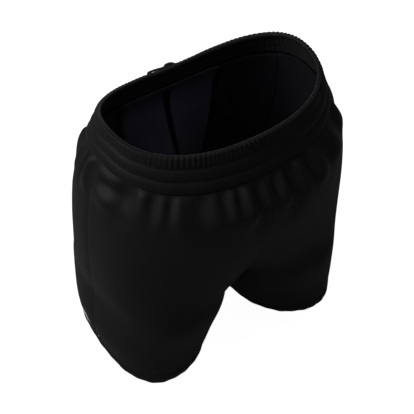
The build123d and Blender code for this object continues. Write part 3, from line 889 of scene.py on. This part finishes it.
# %% Stitching
def stitch_row(name, line, normal, pitch=3.2, length=2.3, radius=0.22):
    """Row of thread arches along a line of points with normals, in millimetres."""
    line = np.asarray(line)
    normal = np.asarray(normal)
    steps = np.linalg.norm(np.diff(line, axis=0), axis=1)
    run = np.concatenate([[0], np.cumsum(steps)])
    starts = np.arange(pitch / 2, run[-1] - length, pitch)
    verts = []
    faces = []
    for start in starts:
        base_index = len(verts)
        for share, rise in ((0, -0.1), (0.25, 0.16), (0.75, 0.16), (1, -0.1)):
            here = start + length * share
            centre = np.array([np.interp(here, run, line[:, k]) for k in range(3)])
            up = np.array([np.interp(here, run, normal[:, k]) for k in range(3)])
            up /= np.linalg.norm(up)
            ahead = np.array([np.interp(here + 0.3, run, line[:, k]) for k in range(3)]) - centre
            across = np.cross(ahead, up)
            across /= max(np.linalg.norm(across), 1e-9)
            for a, b in ((1, 0), (0, 1), (-1, 0), (0, -1)):
                verts.append((centre + up * (rise + radius * b) + across * radius * a) * MM)
        for ring in range(3):
            for j in range(4):
                k = (j + 1) % 4
                low = base_index + ring * 4
                faces.append((low + j, low + k, low + 4 + k, low + 4 + j))
        faces.append(tuple(base_index + j for j in (3, 2, 1, 0)))
        faces.append(tuple(base_index + 12 + j for j in range(4)))
    mesh = bpy.data.meshes.new(name)
    mesh.from_pydata([tuple(v) for v in verts], [], faces)
    mesh.update()
    piece = bpy.data.objects.new(name, mesh)
    bpy.context.scene.collection.objects.link(piece)
    return piece


def mirror_rows(rows):
    """The same rows on the wearer's other side."""
    return [(points * np.array([-1, 1, 1]), normal * np.array([-1, 1, 1])) for points, normal in rows]


def stitched(name, rows, slot_name, **sizes):
    """All rows of one seam as a single piece."""
    parts = [stitch_row(f"{name}_{i}", points, normal, **sizes) for i, (points, normal) in enumerate(rows)]
    made = join(parts, name)
    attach(made, "shorts")
    pieces[name] = made


channel_rows = []
for depth_at in (1 / 3, 2 / 3, 0.985):
    for hand in (1, -1):
        turn = np.linspace(-0.995, 0.995, 240)
        points = band_points(turn, np.full_like(turn, depth_at))
        flat_normal = np.stack([points[:, 0] / 150 ** 2, points[:, 1] / 100 ** 2, 0 * turn], -1)
        flat_normal /= np.linalg.norm(flat_normal, axis=1, keepdims=True)
        row = (points + flat_normal * 0.35, flat_normal)
        channel_rows += [row] if hand == 1 else mirror_rows([row])
stitched("waistband_stitching", channel_rows, "cord")

hem_rows = []
for first, last in hem_spans.values():
    turn = np.linspace(first, last, 240)[None, :].repeat(3, axis=0)
    z = np.linspace(HEM_TOP + 1, HEM_TOP - 3, 3)[:, None] + 0 * turn
    points = layer_points(SHELL, turn, z)
    normal = normals_of(points)
    hem_rows.append((points[1] + normal[1] * 0.15, normal[1]))
stitched("hem_stitching", hem_rows + mirror_rows(hem_rows), "cord")

pouch_rows = []
for edge in (POUCH_EDGE - 0.03, POUCH_EDGE + 0.03):
    z = np.linspace(-56, -250, 160)[:, None].repeat(3, axis=1)
    turn = np.array([edge - 0.002, edge, edge + 0.002])[None] + 0 * z
    points = layer_points(LINER, turn, z)
    normal = normals_of(points)
    pouch_rows.append((points[:, 1] - normal[:, 1] * (LINER_CLOTH + 0.05), -normal[:, 1]))
z = np.linspace(-100, -176, 60)[:, None].repeat(3, axis=1)
arc = -0.91 - 0.05 * np.clip((-z - 138) / 30, 0, 1) ** 1.5
turn = arc + np.array([-0.002, 0, 0.002])[None]
points = layer_points(LINER, turn, z)
normal = normals_of(points)
pouch_rows.append((points[:, 1] - normal[:, 1] * (LINER_CLOTH + 0.05), -normal[:, 1]))
stitched("pouch_stitching", pouch_rows + mirror_rows(pouch_rows), "tape", pitch=2.6, length=1.8)
print("stitches", sum(len(pieces[n].data.polygons) for n in pieces if "stitching" in n), "faces")

# %% [markdown]
# ## Shared surface effects
# Each effect is one node group. `weave` is a plain weave of rounded threads. `perforation` is a staggered
# grid of knitted eyelets. `ribs` are the parallel wales of elastic and braid. `mottle` is the slow unevenness
# of dye and nap that keeps black cloth from looking flat.

# %% Node helpers
def node(tree, kind, inputs=None, **settings):
    """Adds a shader node; inputs are constants or sockets to link from."""
    made = tree.nodes.new(kind)
    for key, value in settings.items():
        setattr(made, key, value)
    for key, value in (inputs or {}).items():
        if isinstance(value, bpy.types.NodeSocket):
            tree.links.new(value, made.inputs[key])
        else:
            made.inputs[key].default_value = value
    return made


def maths(tree, operation, a, b=0.0, c=0.0, clamp=False):
    return node(tree, "ShaderNodeMath", {0: a, 1: b, 2: c}, operation=operation, use_clamp=clamp).outputs[0]


def new_group(name, ins, outs):
    """Empty node group with named float or vector sockets."""
    tree = bpy.data.node_groups.new(name, "ShaderNodeTree")
    for label, (kind, value) in ins.items():
        made = tree.interface.new_socket(name=label, in_out="INPUT", socket_type=kind)
        if value is not None:
            made.default_value = value
    for label in outs:
        tree.interface.new_socket(name=label, in_out="OUTPUT", socket_type="NodeSocketFloat")
    return tree, tree.nodes.new("NodeGroupInput"), tree.nodes.new("NodeGroupOutput")


FLOAT = "NodeSocketFloat"
VECTOR = "NodeSocketVector"

# %% Weave
weave, weave_in, weave_out = new_group(
    "weave", {"Vector": (VECTOR, None), "Pitch": (FLOAT, 0.0006)}, ["Height"])
parts = node(weave, "ShaderNodeSeparateXYZ", {0: weave_in.outputs["Vector"]})
warp = maths(weave, "DIVIDE", parts.outputs[0], weave_in.outputs["Pitch"])
weft = maths(weave, "DIVIDE", parts.outputs[1], weave_in.outputs["Pitch"])
warp_wave = maths(weave, "ABSOLUTE", maths(weave, "SINE", maths(weave, "MULTIPLY", warp, pi)))
weft_wave = maths(weave, "ABSOLUTE", maths(weave, "SINE", maths(weave, "MULTIPLY", weft, pi)))
over = maths(weave, "SINE", maths(weave, "MULTIPLY", maths(weave, "ADD", warp, weft), pi))
blend_way = maths(weave, "MULTIPLY_ADD", over, 0.5, 0.5)
height = node(weave, "ShaderNodeMix", {0: blend_way, 2: warp_wave, 3: weft_wave}).outputs[0]
weave.links.new(height, weave_out.inputs["Height"])

# %% Perforation
perforation, perf_in, perf_out = new_group(
    "perforation", {"Vector": (VECTOR, None), "Pitch": (FLOAT, 0.0034), "Size": (FLOAT, 0.27)},
    ["Height"])
parts = node(perforation, "ShaderNodeSeparateXYZ", {0: perf_in.outputs["Vector"]})
u = maths(perforation, "DIVIDE", parts.outputs[0], perf_in.outputs["Pitch"])
v = maths(perforation, "DIVIDE", parts.outputs[1], perf_in.outputs["Pitch"])


def lattice_distance(offset):
    """Distance to the nearest point of a square lattice, in pitches."""
    near_u = maths(perforation, "ABSOLUTE", maths(perforation, "SUBTRACT", maths(
        perforation, "FRACT", maths(perforation, "ADD", u, offset)), 0.5))
    near_v = maths(perforation, "ABSOLUTE", maths(perforation, "SUBTRACT", maths(
        perforation, "FRACT", maths(perforation, "ADD", v, offset)), 0.5))
    square_u = maths(perforation, "MULTIPLY", near_u, near_u)
    square_v = maths(perforation, "MULTIPLY", near_v, near_v)
    return maths(perforation, "SQRT", maths(perforation, "ADD", square_u, square_v))


nearest = maths(perforation, "MINIMUM", lattice_distance(0.0), lattice_distance(0.5))
inside_hole = maths(perforation, "SUBTRACT", perf_in.outputs["Size"], nearest)
hole = maths(perforation, "DIVIDE", inside_hole, 0.08, clamp=True)
perforation.links.new(maths(perforation, "SUBTRACT", 1.0, hole), perf_out.inputs["Height"])

# %% Ribs and mottle
ribs_group, ribs_in, ribs_out = new_group(
    "ribs", {"Vector": (VECTOR, None), "Along": (FLOAT, 0.0009), "Across": (FLOAT, 0.0016)}, ["Height"])
parts = node(ribs_group, "ShaderNodeSeparateXYZ", {0: ribs_in.outputs["Vector"]})
wale = maths(ribs_group, "ABSOLUTE", maths(ribs_group, "SINE", maths(
    ribs_group, "MULTIPLY", maths(ribs_group, "DIVIDE", parts.outputs[1], ribs_in.outputs["Along"]), pi)))
pick = maths(ribs_group, "ABSOLUTE", maths(ribs_group, "SINE", maths(
    ribs_group, "MULTIPLY", maths(ribs_group, "DIVIDE", parts.outputs[0], ribs_in.outputs["Across"]), pi)))
ribs_group.links.new(maths(ribs_group, "MULTIPLY_ADD", pick, 0.35, wale), ribs_out.inputs["Height"])

mottle, mottle_in, mottle_out = new_group(
    "mottle", {"Vector": (VECTOR, None), "Size": (FLOAT, 30.0)}, ["Shade"])
slow = node(mottle, "ShaderNodeTexNoise", {
    "Vector": mottle_in.outputs["Vector"], "Scale": mottle_in.outputs["Size"],
    "Detail": 3.0, "Roughness": 0.55})
mottle.links.new(slow.outputs["Fac"], mottle_out.inputs["Shade"])
print("groups", [g.name for g in bpy.data.node_groups])

# %% [markdown]
# ## Materials
# Every finish starts from one recipe: a colour that the mottle and the thread pattern shift a little, a
# roughness that the mottle changes, and a bump from the pattern. Cloth adds sheen, the soft light that fine
# fibres scatter where the surface turns away.

# %% Materials
def finish_material(name, dark, light, pattern, roughness, relief, coordinates="UV", sheen=0.0, metallic=0.0,
                    specular=0.14, mottle_size=30.0, **pattern_inputs):
    """Principled material whose colour runs from dark to light with mottle and thread pattern."""
    material = bpy.data.materials.new(name)
    material.use_nodes = True
    tree = material.node_tree
    surface = tree.nodes["Principled BSDF"]
    places = node(tree, "ShaderNodeTexCoord")
    spots = node(tree, "ShaderNodeGroup", node_tree=mottle)
    spots.inputs["Size"].default_value = mottle_size
    tree.links.new(places.outputs["Object"], spots.inputs["Vector"])
    threads = node(tree, "ShaderNodeGroup", node_tree=pattern)
    tree.links.new(places.outputs[coordinates], threads.inputs["Vector"])
    for key, value in pattern_inputs.items():
        threads.inputs[key].default_value = value
    mixed = maths(tree, "MULTIPLY_ADD", threads.outputs["Height"], 0.35,
                  maths(tree, "MULTIPLY", spots.outputs["Shade"], 0.65), clamp=True)
    colour = node(tree, "ShaderNodeMix", data_type="RGBA", clamp_factor=True)
    tree.links.new(mixed, colour.inputs[0])
    colour.inputs[6].default_value = (*dark, 1)
    colour.inputs[7].default_value = (*light, 1)
    tree.links.new(colour.outputs[2], surface.inputs["Base Color"])
    rough = maths(tree, "MULTIPLY_ADD", spots.outputs["Shade"], 0.12, roughness - 0.06, clamp=True)
    tree.links.new(rough, surface.inputs["Roughness"])
    bump = node(tree, "ShaderNodeBump", {"Strength": 0.7, "Distance": relief})
    tree.links.new(threads.outputs["Height"], bump.inputs["Height"])
    tree.links.new(bump.outputs["Normal"], surface.inputs["Normal"])
    surface.inputs["Metallic"].default_value = metallic
    surface.inputs["Specular IOR Level"].default_value = specular
    surface.inputs["Sheen Weight"].default_value = sheen
    surface.inputs["Sheen Roughness"].default_value = 0.45
    surface.inputs["Sheen Tint"].default_value = (0.9, 0.93, 1.0, 1)
    return material


shell_cloth = finish_material(
    "black_microfibre", (0.0040, 0.0040, 0.0042), (0.0080, 0.0080, 0.0084),
    weave, 0.58, 0.00006, sheen=0.01, specular=0.16, Pitch=0.0007)
band_cloth = finish_material(
    "black_microfibre_band", (0.0034, 0.0034, 0.0037), (0.0075, 0.0075, 0.0080),
    weave, 0.58, 0.00006, sheen=0.01, specular=0.14, Pitch=0.0007)
facing_cloth = finish_material(
    "facing_rib_knit", (0.006, 0.006, 0.007), (0.014, 0.014, 0.016),
    ribs_group, 0.85, 0.00025, sheen=0.02, specular=0.10, Along=0.0021, Across=0.0016)
liner_mesh = finish_material(
    "navy_perforated_knit", (0.0016, 0.0016, 0.0024), (0.0105, 0.0107, 0.0160),
    perforation, 0.86, 0.00022, sheen=0.02, specular=0.10, Pitch=0.0034, Size=0.24)
# The pouch is the same navy perforated knit as the other liner panels, painted several times lighter: painted
# light for the light that falls through the waist opening onto the pouch.
pouch_knit_painted_lit = finish_material(
    "navy_knit_painted_lit_pouch", (0.006, 0.006, 0.010), (0.056, 0.056, 0.086),
    perforation, 0.86, 0.00022, sheen=0.02, specular=0.10, Pitch=0.0034, Size=0.24)
liner_smooth = finish_material(
    "navy_smooth_knit", (0.0030, 0.0031, 0.0046), (0.0085, 0.0088, 0.0135),
    weave, 0.8, 0.00010, sheen=0.02, specular=0.105, Pitch=0.0010)
rib_elastic = finish_material(
    "ribbed_elastic", (0.004, 0.004, 0.0045), (0.013, 0.013, 0.0145),
    ribs_group, 0.8, 0.0003, sheen=0.02, specular=0.25, Along=0.0019, Across=0.0021)
cad_elastic = finish_material(
    "woven_elastic", (0.02, 0.02, 0.022), (0.05, 0.05, 0.054),
    ribs_group, 0.85, 0.0003, coordinates="Object", sheen=0.05, Along=0.0019, Across=0.0021)
braid_cord = finish_material(
    "braided_cord", (0.004, 0.004, 0.0045), (0.016, 0.016, 0.018),
    weave, 0.7, 0.0004, coordinates="Object", sheen=0.03, specular=0.14, Pitch=0.0016)
tape_woven = finish_material(
    "herringbone_tape", (0.0012, 0.0012, 0.0014), (0.0032, 0.0032, 0.0036),
    weave, 0.75, 0.00020, sheen=0.01, specular=0.12, Pitch=0.0012)
tip_plastic = finish_material(
    "moulded_plastic", (0.008, 0.008, 0.009), (0.02, 0.02, 0.022),
    ribs_group, 0.35, 0.00005, coordinates="Object", specular=0.5, Along=0.0008, Across=0.004)
eyelet_metal = finish_material(
    "blackened_metal", (0.05, 0.05, 0.055), (0.12, 0.12, 0.13),
    ribs_group, 0.36, 0.00003, coordinates="Object", metallic=1.0, specular=0.5, Along=0.0011, Across=0.003)
# The film is light grey in its own colour. Its colour is raised near white as a painted glint, so the bars
# shine without a light catching them.
film = finish_material(
    "reflective_film", (0.80, 0.80, 0.82), (0.92, 0.92, 0.94),
    perforation, 0.40, 0.00004, specular=0.6, Pitch=0.0011, Size=0.2)
foam = finish_material(
    "closed_cell_foam", (0.010, 0.010, 0.012), (0.028, 0.028, 0.032),
    perforation, 0.9, 0.0002, sheen=0.02, specular=0.2, mottle_size=60.0, Pitch=0.0028, Size=0.16)
thread = finish_material(
    "sewing_thread", (0.006, 0.006, 0.007), (0.016, 0.016, 0.018),
    ribs_group, 0.6, 0.00004, coordinates="Object", sheen=0.02, specular=0.4, Along=0.0003, Across=0.0009)

FINISHES = (
    ("casing", band_cloth), ("hem_band", shell_cloth),
    ("front_cloth", shell_cloth), ("back_cloth", shell_cloth),
    ("inner_facing", facing_cloth), ("leg_cuff", rib_elastic), ("foam", foam), ("moulded_tip", tip_plastic),
    ("bar_set", film), ("stitching", thread), ("seam_tape", tape_woven), ("binding", tape_woven),
    ("knot", braid_cord), ("drawstring_tail", braid_cord),
    ("gusset", liner_smooth), ("pouch_half", pouch_knit_painted_lit),
    ("seat_cloth", liner_mesh), ("hip_cloth", liner_mesh), ("front_thigh", liner_mesh),
)


def painted(thing, material):
    """Gives a piece one material."""
    thing.data.materials.clear()
    thing.data.materials.append(material)


for name, piece in pieces.items():
    for word, material in FINISHES:
        if word in name:
            painted(piece, material)
            break
    else:
        print("no finish for", name)

CAD_FINISHES = {
    "elastic_upper": cad_elastic, "elastic_middle": cad_elastic, "elastic_lower": cad_elastic,
    "drawstring_run": braid_cord, "left_eyelet": eyelet_metal, "right_eyelet": eyelet_metal,
}
for name, material in CAD_FINISHES.items():
    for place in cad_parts[name].material_slots:
        place.material = material
print("materials", len(bpy.data.materials))

# %% [markdown]
# ## Floor and light
# A pale floor below the hems, clear when looked at from beneath, and dim white surroundings. The key light
# comes from the wearer's left and leaves the right leg darker. A rim light follows it, one light falls into
# the waist opening, and one shows the front.

# %% Floor
FLOOR_BELOW = 0.03
FLOOR_GREY = 0.30
FLOOR_GLOW = 0.96
WORLD_STRENGTH = 0.125

floor_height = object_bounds()[0][2] - FLOOR_BELOW
bpy.ops.object.select_all(action="DESELECT")
bpy.ops.mesh.primitive_plane_add(size=200, location=(0, 0, floor_height))
floor = bpy.context.object
floor.name = "floor"
paper = bpy.data.materials.new("white_floor")
paper.use_nodes = True
tree = paper.node_tree
surface = tree.nodes["Principled BSDF"]
surface.inputs["Base Color"].default_value = (FLOOR_GREY, FLOOR_GREY, FLOOR_GREY, 1)
surface.inputs["Roughness"].default_value = 0.9
surface.inputs["Specular IOR Level"].default_value = 0.0
seen = node(tree, "ShaderNodeLightPath").outputs["Is Camera Ray"]
surface.inputs["Emission Color"].default_value = (1, 1, 1, 1)
tree.links.new(maths(tree, "MULTIPLY", seen, FLOOR_GLOW), surface.inputs["Emission Strength"])
clear = node(tree, "ShaderNodeBsdfTransparent").outputs["BSDF"]
underneath = node(tree, "ShaderNodeNewGeometry").outputs["Backfacing"]
one_sided = node(tree, "ShaderNodeMixShader", {0: underneath, 1: surface.outputs["BSDF"], 2: clear})
tree.links.new(one_sided.outputs[0], tree.nodes["Material Output"].inputs["Surface"])
painted(floor, paper)

# %% World and lights
world = bpy.data.worlds.new("white_room")
world.use_nodes = True
world.node_tree.nodes["Background"].inputs[0].default_value = (1, 1, 1, 1)
world.node_tree.nodes["Background"].inputs[1].default_value = WORLD_STRENGTH
bpy.context.scene.world = world
bpy.context.scene.view_settings.view_transform = "Standard"


def soft_light(name, direction, distance, size, power):
    """Square area light that faces the shorts from a direction."""
    data = bpy.data.lights.new(name, "AREA")
    data.shape = "SQUARE"
    data.size = size
    data.energy = power
    lamp = bpy.data.objects.new(name, data)
    bpy.context.scene.collection.objects.link(lamp)
    way = Vector(direction).normalized()
    lamp.matrix_world = (Matrix.Translation(Vector((0, 0, -0.15)) + way * distance)
                         @ way.to_track_quat("Z", "Y").to_matrix().to_4x4())
    return lamp


soft_light("key", (0.95, -0.25, 0.80), 2.2, 0.9, 25)
soft_light("rim", (0.55, -0.60, 0.35), 2.2, 1.2, 4)
soft_light("opening", (0.25, 0.40, 1.00), 2.2, 1.0, 6)
soft_light("front", (-0.45, -1.00, 0.45), 2.2, 1.0, 9)
